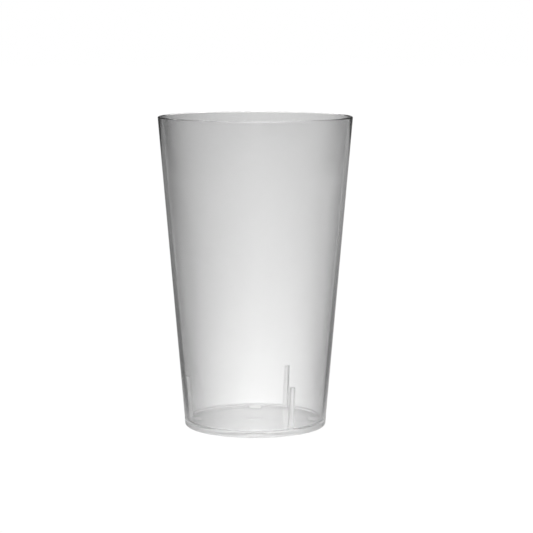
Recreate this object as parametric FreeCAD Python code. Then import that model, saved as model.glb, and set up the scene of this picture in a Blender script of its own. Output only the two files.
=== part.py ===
"""Stacking pint tumbler, injection moulded in one shot from translucent plastic.

Millimetres, +Z up. The origin is the centre of the foot, on the surface that the tumbler stands on.
Azimuths are measured from -Y, the front, towards +X.
"""

import FreeCAD
import Part

import math
import os

# Outside of the cup: a straight taper from the foot to the rim.
HEIGHT = 140.0
RIM_RADIUS = 43.7
FOOT_RADIUS = 31.9

# Walls.
WALL = 1.7
FLOOR = 1.5

# Foot: a ring around a shallow recess, joined by lugs that reach inwards and are as deep as the ring.
RECESS_DEPTH = 1.2
FOOT_RING_WIDTH = 2.0
FOOT_RING_DRAFT = 0.2
FOOT_LUG_COUNT = 4
FOOT_LUG_WIDTH = 6.3
FOOT_LUG_REACH = 6.0
FOOT_LUG_ROUND = 1.0

# Gate: where the plastic entered the mould, a nub in a small dimple under the floor.
GATE_DIMPLE_RADIUS = 3.5
GATE_DIMPLE_DEPTH = 0.4
GATE_NUB_RADIUS = 0.8
GATE_NUB_HEIGHT = 0.25

# Stacking ribs inside: a nested cup's foot lands on their tops.
RIB_AZIMUTHS = (31.0, 151.0, 271.0)
RIB_TOP = 22.0
RIB_DEPTH = 1.8
RIB_WIDTH_AT_FLOOR = 2.5
RIB_WIDTH_AT_TOP = 1.9
RIB_CREST_ROUND = 0.4
RIB_TOP_ROUND = 0.3

# Mould mark: a small raised bar on top of the floor, lying along a radius.
MARK_AZIMUTH = 72.0
MARK_MIDDLE_RADIUS = 23.0
MARK_LENGTH = 6.5
MARK_WIDTH = 1.6
MARK_HEIGHT = 0.2
MARK_END_ROUND = 0.7

# How far a rib, a lug or the mark reaches into its neighbours, so that they fuse.
ROOT = 0.8

# Corner rounds of the turned profile.
RIM_ROUND = 0.5
FOOT_OUTER_ROUND = 0.8
FOOT_INNER_ROUND = 0.4
RECESS_ROUND = 0.5
FLOOR_ROUND = 1.2

UP = FreeCAD.Vector(0, 0, 1)
CENTRE = FreeCAD.Vector(0, 0, 0)
TOUCHING = 1e-6

TAPER = math.atan2(RIM_RADIUS - FOOT_RADIUS, HEIGHT)
WALL_ACROSS = WALL / math.cos(TAPER)
FLOOR_TOP = RECESS_DEPTH + FLOOR


def outer_radius(z):
    return FOOT_RADIUS + z * math.tan(TAPER)


def inner_radius(z):
    return outer_radius(z) - WALL_ACROSS


def profile_point(radius, z):
    return FreeCAD.Vector(radius, 0, z)


def rounded_wire(corners):
    """A closed wire through (radius, z, round) corners, with a tangent arc wherever round is above 0."""
    points = [profile_point(radius, z) for radius, z, _ in corners]
    edges, starts, ends = [], [], []
    for i, (_, _, rounding) in enumerate(corners):
        corner = points[i]
        back = (points[i - 1] - corner).normalize()
        ahead = (points[(i + 1) % len(points)] - corner).normalize()
        half_angle = back.getAngle(ahead) / 2
        reach = rounding / math.tan(half_angle) if rounding else 0.0
        start, end = corner + back * reach, corner + ahead * reach
        starts.append(start)
        ends.append(end)
        if rounding:
            middle_way = (back + ahead).normalize()
            middle = corner + middle_way * (rounding / math.sin(half_angle) - rounding)
            edges.append(Part.Arc(start, middle, end).toShape())
    for i, end in enumerate(ends):
        edges.append(Part.makeLine(end, starts[(i + 1) % len(starts)]))
    return Part.Wire(Part.__sortEdges__(edges))


def turned_shell():
    """Walls, floor, rim and foot ring, as one turned solid."""
    ring_inner = FOOT_RADIUS - FOOT_RING_WIDTH
    dimple_top = RECESS_DEPTH + GATE_DIMPLE_DEPTH
    corners = [
        (0.0, FLOOR_TOP, 0.0),
        (0.0, dimple_top - GATE_NUB_HEIGHT, 0.0),
        (GATE_NUB_RADIUS, dimple_top - GATE_NUB_HEIGHT, 0.0),
        (GATE_NUB_RADIUS, dimple_top, 0.0),
        (GATE_DIMPLE_RADIUS - GATE_DIMPLE_DEPTH, dimple_top, 0.0),
        (GATE_DIMPLE_RADIUS, RECESS_DEPTH, 0.0),
        (ring_inner - FOOT_RING_DRAFT, RECESS_DEPTH, RECESS_ROUND),
        (ring_inner, 0.0, FOOT_INNER_ROUND),
        (FOOT_RADIUS, 0.0, FOOT_OUTER_ROUND),
        (RIM_RADIUS, HEIGHT, RIM_ROUND),
        (inner_radius(HEIGHT), HEIGHT, RIM_ROUND),
        (inner_radius(FLOOR_TOP), FLOOR_TOP, FLOOR_ROUND),
    ]
    return Part.Face(rounded_wire(corners)).revolve(CENTRE, UP, 360)


def rib_section(z, width):
    """A rib's rectangle at height z, for a rib that stands on the +X side."""
    crest = inner_radius(z) - RIB_DEPTH
    root = inner_radius(z) + ROOT
    half = width / 2
    corners = [(crest, -half), (root, -half), (root, half), (crest, half), (crest, -half)]
    return Part.makePolygon([FreeCAD.Vector(x, y, z) for x, y in corners])


def is_rib_crest(edge):
    """True for the two long edges of an unrounded rib that face the cup's axis."""
    low, high = sorted((vertex.Point for vertex in edge.Vertexes), key=lambda point: point.z)
    return high.z - low.z > RIB_TOP / 2 and high.x < inner_radius(RIB_TOP)


def is_rib_top(edge):
    """True for the edge of a rib's top that faces the cup's axis."""
    points = [vertex.Point for vertex in edge.Vertexes]
    return all(abs(p.z - RIB_TOP) < TOUCHING and p.x < inner_radius(RIB_TOP) for p in points)


def stacking_rib(azimuth):
    """One upright rib on the inside of the wall, narrower at its top so that it leaves the mould."""
    bottom = rib_section(FLOOR_TOP - ROOT, RIB_WIDTH_AT_FLOOR)
    top = rib_section(RIB_TOP, RIB_WIDTH_AT_TOP)
    rib = Part.makeLoft([bottom, top], True, True)
    rib = rib.makeFillet(RIB_CREST_ROUND, [edge for edge in rib.Edges if is_rib_crest(edge)])
    rib = rib.makeFillet(RIB_TOP_ROUND, [edge for edge in rib.Edges if is_rib_top(edge)])
    rib.rotate(CENTRE, UP, azimuth - 90)
    return rib


def is_lug_corner(edge):
    """True for the two upright edges at the free end of an unrounded lug."""
    free_end = FOOT_RADIUS - FOOT_RING_WIDTH - FOOT_LUG_REACH
    first, last = (vertex.Point for vertex in edge.Vertexes)
    at_free_end = all(abs(p.x - free_end) < TOUCHING for p in (first, last))
    return at_free_end and abs(first.y - last.y) < TOUCHING


def foot_lug(azimuth):
    """A pad under the floor, from the foot ring inwards, flush with the ring's underside."""
    free_end = FOOT_RADIUS - FOOT_RING_WIDTH - FOOT_LUG_REACH
    corner = FreeCAD.Vector(free_end, -FOOT_LUG_WIDTH / 2, 0)
    lug = Part.makeBox(FOOT_LUG_REACH + ROOT, FOOT_LUG_WIDTH, RECESS_DEPTH + ROOT, corner)
    lug = lug.makeFillet(FOOT_LUG_ROUND, [edge for edge in lug.Edges if is_lug_corner(edge)])
    lug.rotate(CENTRE, UP, azimuth - 90)
    return lug


def is_upright(edge):
    first, last = (vertex.Point for vertex in edge.Vertexes)
    return abs(first.x - last.x) < TOUCHING and abs(first.y - last.y) < TOUCHING


def mould_mark():
    """The bar on the floor, with rounded ends."""
    corner = FreeCAD.Vector(MARK_MIDDLE_RADIUS - MARK_LENGTH / 2, -MARK_WIDTH / 2, FLOOR_TOP - ROOT)
    bar = Part.makeBox(MARK_LENGTH, MARK_WIDTH, MARK_HEIGHT + ROOT, corner)
    bar = bar.makeFillet(MARK_END_ROUND, [edge for edge in bar.Edges if is_upright(edge)])
    bar.rotate(CENTRE, UP, MARK_AZIMUTH - 90)
    return bar


def cup_body():
    ribs = [stacking_rib(azimuth) for azimuth in RIB_AZIMUTHS]
    lugs = [foot_lug(i * 360 / FOOT_LUG_COUNT) for i in range(FOOT_LUG_COUNT)]
    return turned_shell().fuse(ribs + lugs + [mould_mark()]).removeSplitter().Solids[0]


def litres_to_the_brim():
    """What the cup holds, taken as a frustum, ribs and rounds left out."""
    top, bottom = inner_radius(HEIGHT), inner_radius(FLOOR_TOP)
    return math.pi * (HEIGHT - FLOOR_TOP) * (top**2 + top * bottom + bottom**2) / 3e6


def main():
    os.makedirs("parts", exist_ok=True)
    body = cup_body()
    body.exportStep("parts/cup_body.step")
    print("cup_body valid:", body.isValid(), "closed:", body.isClosed(), "mm3:", round(body.Volume))
    print("litres to the brim:", round(litres_to_the_brim(), 3))


main()
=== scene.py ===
"""Looks of the stacking pint tumbler: its moulded shell, its translucent plastic, and a plain white studio.

The cup is written in millimetres and scaled by MM, because Blender and the frame are in metres. The lamps,
the floor and the camera's place are in metres. Azimuths are measured from -Y, the front, towards +X.
"""

import math

import bpy
import numpy as np
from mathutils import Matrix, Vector


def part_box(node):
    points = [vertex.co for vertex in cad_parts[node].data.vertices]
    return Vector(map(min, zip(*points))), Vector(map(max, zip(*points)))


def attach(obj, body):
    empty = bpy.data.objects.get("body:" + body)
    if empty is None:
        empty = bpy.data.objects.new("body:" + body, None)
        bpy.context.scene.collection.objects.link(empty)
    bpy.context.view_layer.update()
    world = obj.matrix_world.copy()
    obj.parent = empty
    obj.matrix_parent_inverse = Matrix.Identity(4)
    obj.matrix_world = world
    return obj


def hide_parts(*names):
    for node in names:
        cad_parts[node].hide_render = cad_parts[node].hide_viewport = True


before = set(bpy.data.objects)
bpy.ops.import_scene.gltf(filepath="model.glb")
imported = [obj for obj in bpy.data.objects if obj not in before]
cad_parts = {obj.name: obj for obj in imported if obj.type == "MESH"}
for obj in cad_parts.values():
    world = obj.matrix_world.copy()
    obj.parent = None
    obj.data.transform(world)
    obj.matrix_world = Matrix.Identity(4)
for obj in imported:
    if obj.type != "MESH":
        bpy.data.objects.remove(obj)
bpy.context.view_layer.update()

MM = 0.001

# ---------------------------------------- sizes in mm, from the frame and the design

CUP_LOW, CUP_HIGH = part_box("cup_body")
HEIGHT = (CUP_HIGH.z - CUP_LOW.z) / MM
FOOT_RADIUS = 31.9
WALL = 1.7
FLOOR = 1.5
RECESS_DEPTH = 1.2
FLOOR_TOP = RECESS_DEPTH + FLOOR

RIM_ROUND = 0.5
FLOOR_ROUND = 1.2
FOOT_OUTER_ROUND = 0.8
FOOT_INNER_ROUND = 0.4
RECESS_ROUND = 0.5

FOOT_RING_WIDTH = 2.0
FOOT_RING_DRAFT = 0.2
RING_INNER = FOOT_RADIUS - FOOT_RING_WIDTH

LUG_AZIMUTHS = (0.0, 90.0, 180.0, 270.0)
LUG_WIDTH = 6.3
LUG_REACH = 6.0
LUG_DRAFT = 0.05
LUG_ROUND = 0.3

RIB_AZIMUTHS = (31.0, 151.0, 271.0)
RIB_TOP = 22.0
RIB_DEPTH = 1.8
RIB_WIDTH_AT_FLOOR = 2.5
RIB_WIDTH_AT_TOP = 1.9
RIB_DRAFT = 0.05
RIB_CREST_ROUND = 0.4
RIB_FOOT_ROUND = 0.2

MARK_AZIMUTHS = (72.0,)
MARK_INNER_END = 19.75
MARK_OUTER_END = 26.25
MARK_WIDTH = 1.6
MARK_HEIGHT = 0.2
MARK_DRAFT = 0.03
MARK_ROUND = 0.08

DIMPLE_RADIUS = 3.5
DIMPLE_DEPTH = 0.4
DIMPLE_ROUND = 0.25
NUB_RADIUS = 0.8
NUB_HEIGHT = 0.25
NUB_ROUND = 0.08


def rim_corner_radius():
    """The rim's outer radius before rounding, from the widest point of the CAD cup."""
    widest = (CUP_HIGH.x - CUP_LOW.x) / 2 / MM
    taper = math.atan2(widest - FOOT_RADIUS, HEIGHT)
    return widest + RIM_ROUND * (math.tan(taper) + 1 / math.cos(taper) - 1)


RIM_RADIUS = rim_corner_radius()
TAPER = math.atan2(RIM_RADIUS - FOOT_RADIUS, HEIGHT)
WALL_ACROSS = WALL / math.cos(TAPER)


def outer_radius(z):
    return FOOT_RADIUS + z * math.tan(TAPER)


def inner_radius(z):
    return outer_radius(z) - WALL_ACROSS


def crest_radius(z):
    return inner_radius(z) - RIB_DEPTH


# ---------------------------------------- curves with their tangents

ROUND_STEPS = 6  # straight steps in each rounding


def unit(vectors):
    return vectors / np.linalg.norm(vectors, axis=-1, keepdims=True)


def rounded_path(*corners):
    """Rows of (x, y, tangent x, tangent y) along an open path of (x, y, round) corners, rounds as arcs."""
    points = [np.array(corner[:2], float) for corner in corners]
    rows = [np.concatenate([points[0], unit(points[1] - points[0])])]
    for i in range(1, len(corners) - 1):
        back, ahead = unit(points[i - 1] - points[i]), unit(points[i + 1] - points[i])
        half_angle = math.acos(np.clip(back @ ahead, -1, 1)) / 2
        radius = corners[i][2]
        centre = points[i] + unit(back + ahead) * radius / math.sin(half_angle)
        start = points[i] + back * radius / math.tan(half_angle)
        end = points[i] + ahead * radius / math.tan(half_angle)
        first, last = (math.atan2(p[1] - centre[1], p[0] - centre[0]) for p in (start, end))
        sweep = (last - first + math.pi) % (2 * math.pi) - math.pi
        turn = math.copysign(1, sweep)
        for angle in np.linspace(first, first + sweep, ROUND_STEPS + 1):
            out = np.array([math.cos(angle), math.sin(angle)])
            rows.append(np.concatenate([centre + radius * out, turn * np.array([-out[1], out[0]])]))
    rows.append(np.concatenate([points[-1], unit(points[-1] - points[-2])]))
    return np.array(rows)


def resampled(path, count):
    """The same path as count evenly spaced rows."""
    steps = np.linalg.norm(np.diff(path[:, :2], axis=0), axis=1)
    lengths = np.concatenate([[0], np.cumsum(steps)])
    at = np.linspace(0, lengths[-1], count)
    rows = np.stack([np.interp(at, lengths, path[:, k]) for k in range(4)], axis=1)
    rows[:, 2:] = unit(rows[:, 2:])
    return rows


def straight(start, end, count):
    return resampled(rounded_path(start, end), count)


def levelled(path, z):
    """The same path pressed flat at height z."""
    flat = path.copy()
    flat[:, 1] = z
    flat[:, 2:] = unit(flat[-1:, :2] - flat[:1, :2])
    return flat


# ---------------------------------------- the cup's outline, plain and featured

# Where stretches of the outline meet, clear of every rounding.
FLOOR_MIDDLE = MARK_INNER_END - 0.5
FLOOR_FLAT = 27.0
RIB_LOW = FLOOR_TOP + 2.0
RIB_HIGH = RIB_TOP - 1.0
ABOVE_RIB = RIB_TOP + 1.0
RIM_SHOULDER = HEIGHT - 1.5
FOOT_SHOULDER = 1.5
RING_FLAT = RING_INNER + 0.7
RECESS_OUTER = RING_INNER - 1.5
LUG_END = RING_INNER - LUG_REACH
LUG_SHOULDER = LUG_END + 0.7
RECESS_INNER = LUG_END - 1.0
DIMPLE_SHOULDER = DIMPLE_RADIUS + 1.0

# Rows of vertices along the stretches.
MIDDLE_ROWS = 10
RIB_FOOT_ROWS = 26
RIB_ROWS = 9
RIB_TOP_ROWS = 22
UPPER_WALL_ROWS = 18
OUTSIDE_ROWS = 24
LUG_ROWS = 5
UNDERSIDE_ROWS = 9


def inner_stretches():
    """Stretches from the floor's centre to the rim: (plain path, path over the mark or up a rib)."""
    middle = straight((0, FLOOR_TOP), (FLOOR_MIDDLE, FLOOR_TOP), MIDDLE_ROWS)
    mark = rounded_path(
        (FLOOR_MIDDLE, FLOOR_TOP),
        (MARK_INNER_END, FLOOR_TOP, MARK_ROUND),
        (MARK_INNER_END + MARK_DRAFT, FLOOR_TOP + MARK_HEIGHT, MARK_ROUND),
        (MARK_OUTER_END - MARK_DRAFT, FLOOR_TOP + MARK_HEIGHT, MARK_ROUND),
        (MARK_OUTER_END, FLOOR_TOP, MARK_ROUND),
        (FLOOR_FLAT, FLOOR_TOP),
    )
    wall_foot = rounded_path(
        (FLOOR_FLAT, FLOOR_TOP),
        (inner_radius(FLOOR_TOP), FLOOR_TOP, FLOOR_ROUND),
        (inner_radius(RIB_LOW), RIB_LOW),
    )
    rib_foot = rounded_path(
        (FLOOR_FLAT, FLOOR_TOP),
        (crest_radius(FLOOR_TOP), FLOOR_TOP, RIB_FOOT_ROUND),
        (crest_radius(RIB_LOW), RIB_LOW),
    )
    wall = straight((inner_radius(RIB_LOW), RIB_LOW), (inner_radius(RIB_HIGH), RIB_HIGH), RIB_ROWS)
    crest = straight((crest_radius(RIB_LOW), RIB_LOW), (crest_radius(RIB_HIGH), RIB_HIGH), RIB_ROWS)
    wall_beside_top = straight(
        (inner_radius(RIB_HIGH), RIB_HIGH),
        (inner_radius(ABOVE_RIB), ABOVE_RIB),
        RIB_TOP_ROWS,
    )
    rib_top = rounded_path(
        (crest_radius(RIB_HIGH), RIB_HIGH),
        (crest_radius(RIB_TOP), RIB_TOP, RIB_CREST_ROUND),
        (inner_radius(RIB_TOP), RIB_TOP, RIB_FOOT_ROUND),
        (inner_radius(ABOVE_RIB), ABOVE_RIB),
    )
    upper_wall = straight(
        (inner_radius(ABOVE_RIB), ABOVE_RIB),
        (inner_radius(RIM_SHOULDER), RIM_SHOULDER),
        UPPER_WALL_ROWS,
    )
    return [
        (middle, middle),
        (levelled(mark, FLOOR_TOP), mark),
        (resampled(wall_foot, RIB_FOOT_ROWS), resampled(rib_foot, RIB_FOOT_ROWS)),
        (wall, crest),
        (wall_beside_top, resampled(rib_top, RIB_TOP_ROWS)),
        (upper_wall, upper_wall),
    ]


def rim_and_outside():
    """Stretches over the rim, down the outside and around the foot, with no ribs or lugs on them."""
    rim = rounded_path(
        (inner_radius(RIM_SHOULDER), RIM_SHOULDER),
        (inner_radius(HEIGHT), HEIGHT, RIM_ROUND),
        (outer_radius(HEIGHT), HEIGHT, RIM_ROUND),
        (outer_radius(RIM_SHOULDER), RIM_SHOULDER),
    )
    outside = straight(
        (outer_radius(RIM_SHOULDER), RIM_SHOULDER),
        (outer_radius(FOOT_SHOULDER), FOOT_SHOULDER),
        OUTSIDE_ROWS,
    )
    foot = rounded_path(
        (outer_radius(FOOT_SHOULDER), FOOT_SHOULDER),
        (FOOT_RADIUS, 0, FOOT_OUTER_ROUND),
        (RING_FLAT, 0),
    )
    return [(path, path) for path in (rim, outside, foot)]


def underside_stretches():
    """Stretches from the foot ring to the centre of the recess: (plain path, path along a lug)."""
    ring = rounded_path(
        (RING_FLAT, 0),
        (RING_INNER, 0, FOOT_INNER_ROUND),
        (RING_INNER - FOOT_RING_DRAFT, RECESS_DEPTH, RECESS_ROUND),
        (RECESS_OUTER, RECESS_DEPTH),
    )
    recess = straight((RECESS_OUTER, RECESS_DEPTH), (LUG_SHOULDER, RECESS_DEPTH), LUG_ROWS)
    lug = straight((RECESS_OUTER, 0), (LUG_SHOULDER, 0), LUG_ROWS)
    lug_end = rounded_path(
        (LUG_SHOULDER, 0),
        (LUG_END, 0, LUG_ROUND),
        (LUG_END - LUG_DRAFT, RECESS_DEPTH, LUG_ROUND),
        (RECESS_INNER, RECESS_DEPTH),
    )
    field = straight((RECESS_INNER, RECESS_DEPTH), (DIMPLE_SHOULDER, RECESS_DEPTH), UNDERSIDE_ROWS)
    dimple_top = RECESS_DEPTH + DIMPLE_DEPTH
    gate = rounded_path(
        (DIMPLE_SHOULDER, RECESS_DEPTH),
        (DIMPLE_RADIUS, RECESS_DEPTH, DIMPLE_ROUND),
        (DIMPLE_RADIUS - DIMPLE_DEPTH, dimple_top, DIMPLE_ROUND),
        (NUB_RADIUS, dimple_top, NUB_ROUND),
        (NUB_RADIUS, dimple_top - NUB_HEIGHT, NUB_ROUND),
        (0, dimple_top - NUB_HEIGHT),
    )
    return [
        (ring, levelled(ring, 0)),
        (recess, lug),
        (levelled(lug_end, RECESS_DEPTH), lug_end),
        (field, field),
        (gate, gate),
    ]


def joined(stretches):
    """One plain and one featured path from a list of stretches, shared end rows kept once."""
    return tuple(
        np.concatenate([stretches[0][side][:1]] + [stretch[side][1:] for stretch in stretches])
        for side in (0, 1)
    )


def row_count(stretches):
    return len(joined(stretches)[0])


# ---------------------------------------- ribs, lugs and mould mark around the cup

ZONE = math.radians(14)  # how far from a feature's middle the columns may bend to follow it
COLUMN_STEP = math.radians(1.25)
SECTION_MARGIN = 0.8  # flat strip kept on each side of a feature
RIB_CREST_COLUMNS = 3
MARK_CREST_COLUMNS = 1
LUG_CREST_COLUMNS = 9
SAME_PLACE = 1e-6


def cross_section(half_width, depth, draft, crest_round, foot_round, crest_columns):
    """A feature's section: rows of (offset across it, height, tangent, tangent)."""
    path = rounded_path(
        (-half_width - SECTION_MARGIN, 0),
        (-half_width, 0, foot_round),
        (-half_width + draft, depth, crest_round),
        (half_width - draft, depth, crest_round),
        (half_width, 0, foot_round),
        (half_width + SECTION_MARGIN, 0),
    )
    middle = len(path) // 2
    crest = np.linspace(path[middle - 1], path[middle], crest_columns + 2)
    return np.concatenate([path[: middle - 1], crest, path[middle + 1 :]])


def rib_section(z):
    share = np.clip((z - FLOOR_TOP) / (RIB_TOP - FLOOR_TOP), 0, 1)
    half_width = (RIB_WIDTH_AT_FLOOR + share * (RIB_WIDTH_AT_TOP - RIB_WIDTH_AT_FLOOR)) / 2
    return cross_section(
        half_width, RIB_DEPTH, RIB_DRAFT, RIB_CREST_ROUND, RIB_FOOT_ROUND, RIB_CREST_COLUMNS
    )


def mark_section(z):
    return cross_section(
        MARK_WIDTH / 2, MARK_HEIGHT, MARK_DRAFT, MARK_ROUND, MARK_ROUND, MARK_CREST_COLUMNS
    )


def lug_section(z):
    return cross_section(
        LUG_WIDTH / 2, RECESS_DEPTH, LUG_DRAFT, LUG_ROUND, LUG_ROUND, LUG_CREST_COLUMNS
    )


class Feature:
    """Equal ribs, lugs or marks at some azimuths, on the rows of the outline that they cover."""

    def __init__(self, azimuths, section, depth, radius, z, rows):
        self.azimuths = [math.radians(a) for a in azimuths]
        self.section = section
        self.depth = depth
        self.knots = self.angles(radius, z)
        self.rows = rows

    def angles(self, radius, z):
        return np.arcsin(self.section(z)[:, 0] / radius)

    def columns(self):
        return np.concatenate([azimuth + self.knots for azimuth in self.azimuths])

    def clear_of(self, angles):
        """True where a regular column lies outside every one of them."""
        gap = COLUMN_STEP / 3
        far = np.full(angles.shape, True)
        for azimuth in self.azimuths:
            offset = wrapped(angles - azimuth)
            far &= (offset < self.knots[0] - gap) | (offset > self.knots[-1] + gap)
        return far

    def shape(self, angles, radius, z):
        """Warped angles, how far up the feature each column is, and its section's tangent."""
        section = self.section(z)
        knots = self.angles(radius, z)
        base = np.concatenate([[-ZONE], self.knots, [ZONE]])
        here = np.concatenate([[-ZONE], knots, [ZONE]])
        warped_angles = angles.copy()
        share, along, up = np.zeros_like(angles), np.ones_like(angles), np.zeros_like(angles)
        for azimuth in self.azimuths:
            offset = wrapped(angles - azimuth)
            near = np.abs(offset) < ZONE
            warped_angles[near] += np.interp(offset[near], base, here) - offset[near]
            share[near] = np.interp(offset[near], self.knots, section[:, 1] / self.depth)
            along[near] = np.interp(offset[near], self.knots, section[:, 2])
            up[near] = np.interp(offset[near], self.knots, section[:, 3])
        return warped_angles, share, along, up


def wrapped(angles):
    return (angles + math.pi) % (2 * math.pi) - math.pi


def shell_grid():
    """Vertex places and normals as (rows, columns, 3) arrays, with a pole as the first and the last row."""
    inside, outside, underside = inner_stretches(), rim_and_outside(), underside_stretches()
    plain, featured = joined(inside + outside + underside)
    mark_rows = range(row_count(inside[:1]), row_count(inside[:2]))
    rib_rows = range(row_count(inside[:2]), row_count(inside))
    lug_rows = range(row_count(inside + outside), len(plain))
    features = [
        Feature(MARK_AZIMUTHS, mark_section, MARK_HEIGHT, MARK_INNER_END, FLOOR_TOP, mark_rows),
        Feature(RIB_AZIMUTHS, rib_section, RIB_DEPTH, inner_radius(0), RIB_TOP / 2, rib_rows),
        Feature(LUG_AZIMUTHS, lug_section, RECESS_DEPTH, RING_INNER, 0, lug_rows),
    ]

    regular = np.arange(0, 2 * math.pi, COLUMN_STEP)
    for feature in features:
        regular = regular[feature.clear_of(regular)]
    base = np.concatenate([regular] + [feature.columns() for feature in features])
    base = np.sort(base % (2 * math.pi))

    places, normals = [], []
    for row, (a, b) in enumerate(zip(plain, featured)):
        angles, share = base, np.zeros_like(base)
        along, up = np.ones_like(base), np.zeros_like(base)
        for feature in features:
            if row in feature.rows and np.abs(a[:2] - b[:2]).max() > SAME_PLACE:
                angles, share, along, up = feature.shape(base, (a[0] + b[0]) / 2, (a[1] + b[1]) / 2)
                up = up / feature.depth
        point = a[:2] + np.outer(share, b[:2] - a[:2])
        ahead = a[2:] + np.outer(share, b[2:] - a[2:])
        rise = np.outer(up, b[:2] - a[:2])
        out = np.stack([np.sin(angles), -np.cos(angles), 0 * angles], axis=1)
        around = np.stack([np.cos(angles), np.sin(angles), 0 * angles], axis=1)
        axis = np.array([0.0, 0.0, 1.0])
        places.append(out * point[:, :1] + axis * point[:, 1:])
        ahead = out * ahead[:, :1] + axis * ahead[:, 1:]
        across = around * along[:, None] + out * rise[:, :1] + axis * rise[:, 1:]
        normals.append(unit(np.cross(ahead, across)))
    return np.array(places), np.array(normals)


def cup_mesh():
    """The closed shell: quads between rows, and a fan at each pole."""
    places, normals = shell_grid()
    rows, columns = places.shape[:2]
    ring = places[1:-1].reshape(-1, 3)
    vertices = np.concatenate([[places[0, 0]], ring, [places[-1, 0]]]) * MM
    vertex_normals = np.concatenate([[normals[0, 0]], normals[1:-1].reshape(-1, 3), [normals[-1, 0]]])
    last = len(vertices) - 1

    def index(row, column):
        return 1 + row * columns + column % columns

    faces = [(0, index(0, j), index(0, j + 1)) for j in range(columns)]
    for i in range(rows - 3):
        for j in range(columns):
            faces.append((index(i, j), index(i + 1, j), index(i + 1, j + 1), index(i, j + 1)))
    faces += [(last, index(rows - 3, j + 1), index(rows - 3, j)) for j in range(columns)]

    mesh = bpy.data.meshes.new("pint_tumbler")
    mesh.from_pydata(vertices.tolist(), [], faces)
    mesh.validate()
    mesh.polygons.foreach_set("use_smooth", [True] * len(mesh.polygons))
    mesh.normals_split_custom_set_from_vertices(vertex_normals.tolist())
    mesh.update()
    return mesh


# ---------------------------------------- node helpers


def new_material(name):
    material = bpy.data.materials.new(name)
    material.use_nodes = True
    tree = material.node_tree
    tree.nodes.clear()
    return material, tree


def add(tree, kind, inputs=None, **settings):
    """A new node, each input linked to a socket or set to a plain value."""
    node = tree.nodes.new(kind)
    for name, setting in settings.items():
        setattr(node, name, setting)
    for key, given in (inputs or {}).items():
        socket = node.inputs[key]
        if isinstance(given, bpy.types.NodeSocket):
            tree.links.new(given, socket)
        else:
            socket.default_value = given
    return node


def grey(level):
    return (level, level, level, 1)


def value(tree, operation, *numbers):
    """The output of a Math node."""
    return add(tree, "ShaderNodeMath", dict(enumerate(numbers)), operation=operation).outputs[0]


def bell(tree, distance, width):
    """1 where distance is 0, falling smoothly to 0 over about twice the width."""
    share = value(tree, "DIVIDE", distance, width)
    return value(tree, "EXPONENT", value(tree, "MULTIPLY", share, value(tree, "MULTIPLY", share, -1.0)))


def rising(tree, number, start, end):
    """0 at start and 1 at end, and smooth between them; end may be the lower one."""
    inputs = {"Value": number, 1: start, 2: end}
    return add(tree, "ShaderNodeMapRange", inputs, interpolation_type="SMOOTHSTEP").outputs[0]


def faded_out(tree, number, end, fade):
    """1 well below end and 0 well above it."""
    inputs = {"Value": number, 1: end - fade, 2: end + fade, 3: 1.0, 4: 0.0}
    return add(tree, "ShaderNodeMapRange", inputs, interpolation_type="SMOOTHSTEP").outputs[0]


def off_axis(tree, place):
    """How far a place is from the cup's axis."""
    flat = add(tree, "ShaderNodeVectorMath", {0: place, 1: (1, 1, 0)}, operation="MULTIPLY").outputs[0]
    return add(tree, "ShaderNodeVectorMath", {0: flat}, operation="LENGTH").outputs["Value"]


def seen_directly(tree, to_camera, to_plastic):
    """One shader for the camera's own rays, and another for all the light that reaches the cup."""
    path = add(tree, "ShaderNodeLightPath")
    inputs = {0: path.outputs["Is Camera Ray"], 1: to_plastic.outputs[0], 2: to_camera.outputs[0]}
    return add(tree, "ShaderNodeMixShader", inputs)


# ---------------------------------------- the plastic

PLASTIC_IOR = 1.49
PLASTIC_ROUGHNESS = 0.01
MILK = 0.19  # the share of light scattered at each surface of the wall, seen square on
THICK_MILK = 0.75  # the same where the plastic is thick
MILK_WHITE = 0.95
SHADE_THROUGH = 0.85  # what one surface lets through of the light that would cast a shadow

FLOW_SCALE = (220.0, 220.0, 22.0)  # patches per metre; few of them upwards, so they are long streaks
FLOW_AMOUNT = 0.10
FLOW_DETAIL = 4.0
FLOW_ROUGHNESS = 0.6

RIPPLE_SCALE = 90.0  # ripples per metre
RIPPLE_DETAIL = 2.0
RIPPLE_HEIGHT = 0.02 * MM

RIB_EDGE = (0.1 * MM, 0.4 * MM)  # off the wall
RIB_START = (0.3 * MM, 1.0 * MM)  # above the floor
RING_EDGE = 0.6 * MM
RING_THICKNESS = 0.95


def flow_haze(tree):
    """Faint streaks that run up the wall, where the plastic flowed as it filled the mould."""
    place = add(tree, "ShaderNodeNewGeometry").outputs["Position"]
    stretched = add(tree, "ShaderNodeVectorMath", {0: place, 1: FLOW_SCALE}, operation="MULTIPLY")
    noise = add(
        tree, "ShaderNodeTexNoise",
        {"Vector": stretched.outputs[0], "Scale": 1.0, "Detail": FLOW_DETAIL, "Roughness": FLOW_ROUGHNESS},
    )
    return value(tree, "MULTIPLY_ADD", noise.outputs[0], 2 * FLOW_AMOUNT, 1.0 - FLOW_AMOUNT)


def surface_ripple(tree):
    """The slight unevenness of a moulded surface, as a bent normal."""
    place = add(tree, "ShaderNodeNewGeometry").outputs["Position"]
    noise = add(
        tree, "ShaderNodeTexNoise",
        {"Vector": place, "Scale": RIPPLE_SCALE, "Detail": RIPPLE_DETAIL},
    )
    bump = add(tree, "ShaderNodeBump", {"Height": noise.outputs[0], "Distance": RIPPLE_HEIGHT})
    return bump.outputs["Normal"]


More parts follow.
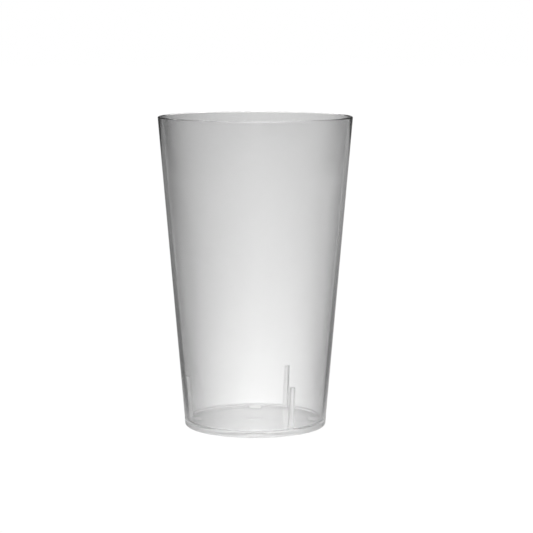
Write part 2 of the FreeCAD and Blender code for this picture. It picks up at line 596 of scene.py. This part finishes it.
def thick_plastic(tree):
    """How thick the plastic is beside the wall's own: 1 on the ribs, less on the foot ring, else 0."""
    place = add(tree, "ShaderNodeNewGeometry").outputs["Position"]
    height = add(tree, "ShaderNodeSeparateXYZ", {0: place}).outputs["Z"]
    radius = off_axis(tree, place)
    wall = value(tree, "MULTIPLY_ADD", height, math.tan(TAPER), inner_radius(0) * MM)
    off_wall = value(tree, "SUBTRACT", wall, radius)
    over_floor = value(tree, "SUBTRACT", height, FLOOR_TOP * MM)
    rib = value(tree, "MULTIPLY", rising(tree, off_wall, *RIB_EDGE), rising(tree, over_floor, *RIB_START))
    ring_outside = rising(tree, radius, RING_INNER * MM - RING_EDGE, RING_INNER * MM)
    ring = value(tree, "MULTIPLY", ring_outside, rising(tree, over_floor, RING_EDGE, -RING_EDGE))
    ring = value(tree, "MULTIPLY", ring, RING_THICKNESS)
    return value(tree, "MAXIMUM", rib, ring)


def milky_share(tree):
    """More milk where the plastic is thick, and less towards the wall's edges, where it mirrors more."""
    mirrored = add(tree, "ShaderNodeFresnel", {"IOR": PLASTIC_IOR}).outputs[0]
    haze = value(tree, "MULTIPLY", flow_haze(tree), MILK)
    thin = value(tree, "MULTIPLY", value(tree, "SUBTRACT", 1.0, mirrored), haze)
    inputs = {"Value": thick_plastic(tree), 1: 0.0, 2: 1.0, 3: thin, 4: THICK_MILK}
    return add(tree, "ShaderNodeMapRange", inputs).outputs[0]


def translucent_plastic():
    """Clear plastic with a milky share at each surface; lamps shine through it, a little weakened."""
    material, tree = new_material("translucent_plastic")
    clear = add(
        tree, "ShaderNodeBsdfGlass",
        {
            "Color": grey(1.0),
            "Roughness": PLASTIC_ROUGHNESS,
            "IOR": PLASTIC_IOR,
            "Normal": surface_ripple(tree),
        },
    )
    front = add(tree, "ShaderNodeBsdfDiffuse", {"Color": grey(MILK_WHITE)})
    through = add(tree, "ShaderNodeBsdfTranslucent", {"Color": grey(MILK_WHITE)})
    milky = add(tree, "ShaderNodeMixShader", {0: 0.5, 1: front.outputs[0], 2: through.outputs[0]})
    inputs = {0: milky_share(tree), 1: clear.outputs[0], 2: milky.outputs[0]}
    surface = add(tree, "ShaderNodeMixShader", inputs)
    path = add(tree, "ShaderNodeLightPath")
    passing = add(tree, "ShaderNodeBsdfTransparent", {"Color": grey(SHADE_THROUGH)})
    inputs = {0: path.outputs["Is Shadow Ray"], 1: surface.outputs[0], 2: passing.outputs[0]}
    final = add(tree, "ShaderNodeMixShader", inputs)
    add(tree, "ShaderNodeOutputMaterial", {"Surface": final.outputs[0]})
    return material


# ---------------------------------------- the light that the plastic shows, painted on the floor and glowing in the sky

# Places in the camera's view are tangents: across to the right and up from the middle of the view.

# The pool of light painted on the floor behind the cup: its middle at the height of the view's middle, how
# that leans upwards, its strength and width there, and how both change upwards.
POOL_ACROSS = 0.012
POOL_LEAN = 0.12
POOL_STRENGTH = 1.02
POOL_SLOPE = -4.4
POOL_WIDTH = 0.080
POOL_SPREAD = 0.50
POOL_LEAST_WIDTH = 0.01

# The weak light painted on the floor in front of the cup, below NEAR_TOP in the view.
NEAR_STRENGTH = 0.3
NEAR_WIDTH = 0.35
NEAR_TOP = -0.09
NEAR_FADE = 0.006

# The light painted on the table on both sides of the pool: its strength and how that leans to the right,
# the gap for the pool, and where it ends at the sides, far away and near.
TABLE_STRENGTH = 0.28
TABLE_LEAN = 0.25
TABLE_GAP = 0.15
TABLE_MIDDLE = 0.08
TABLE_SIDE = 0.55
TABLE_SIDE_FADE = 0.08
TABLE_TOP = 0.045
TABLE_TOP_FADE = 0.003
TABLE_BOTTOM = -0.073
TABLE_BOTTOM_FADE = 0.004

# How far up the sky carries the pool on, as the upward part of a direction, and what counts as ahead.
SKY_TOP = 0.2
SKY_FADE = 0.08
SKY_AHEAD = (0.2, 0.6)

# The painted shadow under the cup and along its foot ring.
UNDER_SHADE = 0.12
UNDER_FADE = 0.05
RING_SHADE = 0.5
RING_SHADE_WIDTH = 4 * MM

WHITE = 1.02


def place_in_view(tree, place, kind):
    """A point or a direction in the camera's view: tangents across and up from its middle, and depth."""
    place = add(
        tree, "ShaderNodeVectorTransform", {0: place},
        vector_type=kind, convert_from="WORLD", convert_to="CAMERA",
    )
    place = add(tree, "ShaderNodeSeparateXYZ", {0: place.outputs[0]})
    depth = place.outputs["Z"]
    away = value(tree, "ABSOLUTE", depth)
    across = value(tree, "DIVIDE", place.outputs["X"], away)
    up = value(tree, "DIVIDE", place.outputs["Y"], away)
    return across, up, depth


def table_glow(tree, across, up):
    """Light painted on the table on both sides of the pool, up to its far edge."""
    strength = value(tree, "MULTIPLY_ADD", across, TABLE_LEAN, TABLE_STRENGTH)
    beside = value(tree, "SUBTRACT", 1.0, bell(tree, across, TABLE_GAP))
    off_middle = value(tree, "ABSOLUTE", value(tree, "SUBTRACT", across, TABLE_MIDDLE))
    side = faded_out(tree, off_middle, TABLE_SIDE, TABLE_SIDE_FADE)
    far = faded_out(tree, up, TABLE_TOP, TABLE_TOP_FADE)
    near = rising(tree, up, TABLE_BOTTOM - TABLE_BOTTOM_FADE, TABLE_BOTTOM + TABLE_BOTTOM_FADE)
    sideways = value(tree, "MULTIPLY", beside, side)
    upwards = value(tree, "MULTIPLY", far, near)
    return value(tree, "MULTIPLY", strength, value(tree, "MULTIPLY", sideways, upwards))


def pool_glow(tree, across, up):
    """A pool of light painted behind the cup, which widens and fades upwards in the view."""
    strength = value(tree, "MULTIPLY_ADD", up, POOL_SLOPE, POOL_STRENGTH)
    strength = value(tree, "MAXIMUM", strength, 0.0)
    width = value(tree, "MULTIPLY_ADD", up, POOL_SPREAD, POOL_WIDTH)
    width = value(tree, "MAXIMUM", width, POOL_LEAST_WIDTH)
    middle = value(tree, "MULTIPLY_ADD", up, POOL_LEAN, POOL_ACROSS)
    return value(tree, "MULTIPLY", strength, bell(tree, value(tree, "SUBTRACT", across, middle), width))


def glow_strength(tree, across, up):
    """The painted pool and the painted table light behind the cup, and the weak painted light in front of
    it.
    """
    behind = value(tree, "ADD", pool_glow(tree, across, up), table_glow(tree, across, up))
    near = value(tree, "MULTIPLY", bell(tree, across, NEAR_WIDTH), NEAR_STRENGTH)
    inputs = {"Value": up, 1: NEAR_TOP - NEAR_FADE, 2: NEAR_TOP + NEAR_FADE, 3: near, 4: behind}
    return add(tree, "ShaderNodeMapRange", inputs, interpolation_type="SMOOTHSTEP").outputs[0]


def painted_contact_shadow(tree, place):
    """Painted shadow: 1 out on the floor, a little less under the cup, and darker where the foot ring
    stands.
    """
    radius = off_axis(tree, place)
    edge = FOOT_RADIUS * MM
    covered = faded_out(tree, radius, edge, UNDER_FADE * edge)
    light = value(tree, "SUBTRACT", 1.0, value(tree, "MULTIPLY", covered, UNDER_SHADE))
    off_ring = value(tree, "SUBTRACT", radius, edge)
    ring = value(tree, "MULTIPLY", bell(tree, off_ring, RING_SHADE_WIDTH), RING_SHADE)
    return value(tree, "MULTIPLY", light, value(tree, "SUBTRACT", 1.0, ring))


def sky_glow(tree):
    """The glow carried on above the far edge of the floor, for a camera that looks level."""
    direction = add(tree, "ShaderNodeTexCoord").outputs["Generated"]
    height = add(tree, "ShaderNodeSeparateXYZ", {0: direction}).outputs["Z"]
    across, up, depth = place_in_view(tree, direction, "VECTOR")
    low = faded_out(tree, height, SKY_TOP, SKY_FADE)
    ahead = rising(tree, depth, *SKY_AHEAD)
    return value(tree, "MULTIPLY", glow_strength(tree, across, up), value(tree, "MULTIPLY", low, ahead))


def white_floor():
    """White to the camera; to the plastic the floor glows with a painted pool of light and a painted
    shadow.
    """
    material, tree = new_material("white_floor")
    place = add(tree, "ShaderNodeNewGeometry").outputs["Position"]
    across, up, _ = place_in_view(tree, place, "POINT")
    # painted pool of light times painted shadow, given off as the floor's own glow
    strength = value(tree, "MULTIPLY", glow_strength(tree, across, up), painted_contact_shadow(tree, place))
    glow = add(tree, "ShaderNodeEmission", {"Color": grey(1.0), "Strength": strength})
    white = add(tree, "ShaderNodeEmission", {"Color": grey(1.0), "Strength": WHITE})
    final = seen_directly(tree, white, glow)
    add(tree, "ShaderNodeOutputMaterial", {"Surface": final.outputs[0]})
    return material


# ---------------------------------------- pieces and stage

FLOOR_DISC_RADIUS = 6.0
FLOOR_DISC_STEPS = 96

FRONT_PLACE = (0.0, -1.3, 0.7)
FRONT_SIZE = (1.8, 0.8)
FRONT_WATTS = 11.5
BACK_PLACE = (0.0, 1.3, 0.9)
BACK_SIZE = (0.6, 0.6)
BACK_WATTS = 11.8

CAMERA_BACK = 6.162  # in cup heights
CAMERA_UP = 1.324  # in cup heights
CAMERA_DOWN = 7.474  # in degrees
CAMERA_LENS = 130.0  # in millimetres
CAMERA_SENSOR = 36.0  # in millimetres
CAMERA_SHIFT = 0.021  # in sensor widths
CAMERA_CLIP = (0.05, 50.0)

BOUNCES = 24
TRANSMISSION_BOUNCES = 16
TRANSPARENT_BOUNCES = 16


def link(name, data):
    piece = bpy.data.objects.new(name, data)
    bpy.context.scene.collection.objects.link(piece)
    return piece


def build_cup():
    cup = link("pint_tumbler", cup_mesh())
    cup.data.materials.append(translucent_plastic())
    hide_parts("cup_body")
    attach(cup, "root")


def build_floor():
    """A round floor under the cup."""
    turns = [2 * math.pi * i / FLOOR_DISC_STEPS for i in range(FLOOR_DISC_STEPS)]
    ring = [(FLOOR_DISC_RADIUS * math.cos(a), FLOOR_DISC_RADIUS * math.sin(a), 0) for a in turns]
    mesh = bpy.data.meshes.new("floor")
    mesh.from_pydata(ring, [], [tuple(range(FLOOR_DISC_STEPS))])
    mesh.materials.append(white_floor())
    floor = link("floor", mesh)
    floor.location.z = CUP_LOW.z


def build_world():
    """White to the camera, and dark to the plastic except for the low glow ahead."""
    world = bpy.data.worlds.new("studio")
    bpy.context.scene.world = world
    world.use_nodes = True
    tree = world.node_tree
    tree.nodes.clear()
    glow = add(tree, "ShaderNodeBackground", {"Color": grey(1.0), "Strength": sky_glow(tree)})
    white = add(tree, "ShaderNodeBackground", {"Color": grey(1.0), "Strength": 1.0})
    final = seen_directly(tree, white, glow)
    add(tree, "ShaderNodeOutputWorld", {"Surface": final.outputs[0]})


def area_light(name, place, target, size, watts):
    light = bpy.data.lights.new(name, "AREA")
    light.shape = "RECTANGLE"
    light.size, light.size_y = size
    light.energy = watts
    lamp = link(name, light)
    lamp.location = place
    lamp.rotation_euler = (Vector(target) - Vector(place)).to_track_quat("-Z", "Y").to_euler()


def build_lights():
    """Two soft lamps, which light the milky share of the plastic."""
    middle = (0, 0, CUP_HIGH.z / 2)
    area_light("front", FRONT_PLACE, middle, FRONT_SIZE, FRONT_WATTS)
    area_light("back", BACK_PLACE, middle, BACK_SIZE, BACK_WATTS)


def build_camera():
    """In front of the cup, a little above its rim, looking down at it."""
    height = CUP_HIGH.z - CUP_LOW.z
    data = bpy.data.cameras.new("camera")
    data.sensor_width = CAMERA_SENSOR
    data.lens = CAMERA_LENS
    data.shift_x = CAMERA_SHIFT
    data.clip_start, data.clip_end = CAMERA_CLIP
    camera = link("camera", data)
    camera.location = (0, -CAMERA_BACK * height, CUP_LOW.z + CAMERA_UP * height)
    camera.rotation_euler = (math.radians(90 - CAMERA_DOWN), 0, 0)
    bpy.context.scene.camera = camera


def set_look():
    scene = bpy.context.scene
    scene.view_settings.view_transform = "Standard"
    scene.view_settings.look = "None"
    scene.cycles.use_denoising = True
    scene.cycles.max_bounces = BOUNCES
    scene.cycles.transmission_bounces = TRANSMISSION_BOUNCES
    scene.cycles.transparent_max_bounces = TRANSPARENT_BOUNCES


build_cup()
build_floor()
build_world()
build_lights()
build_camera()
set_look()
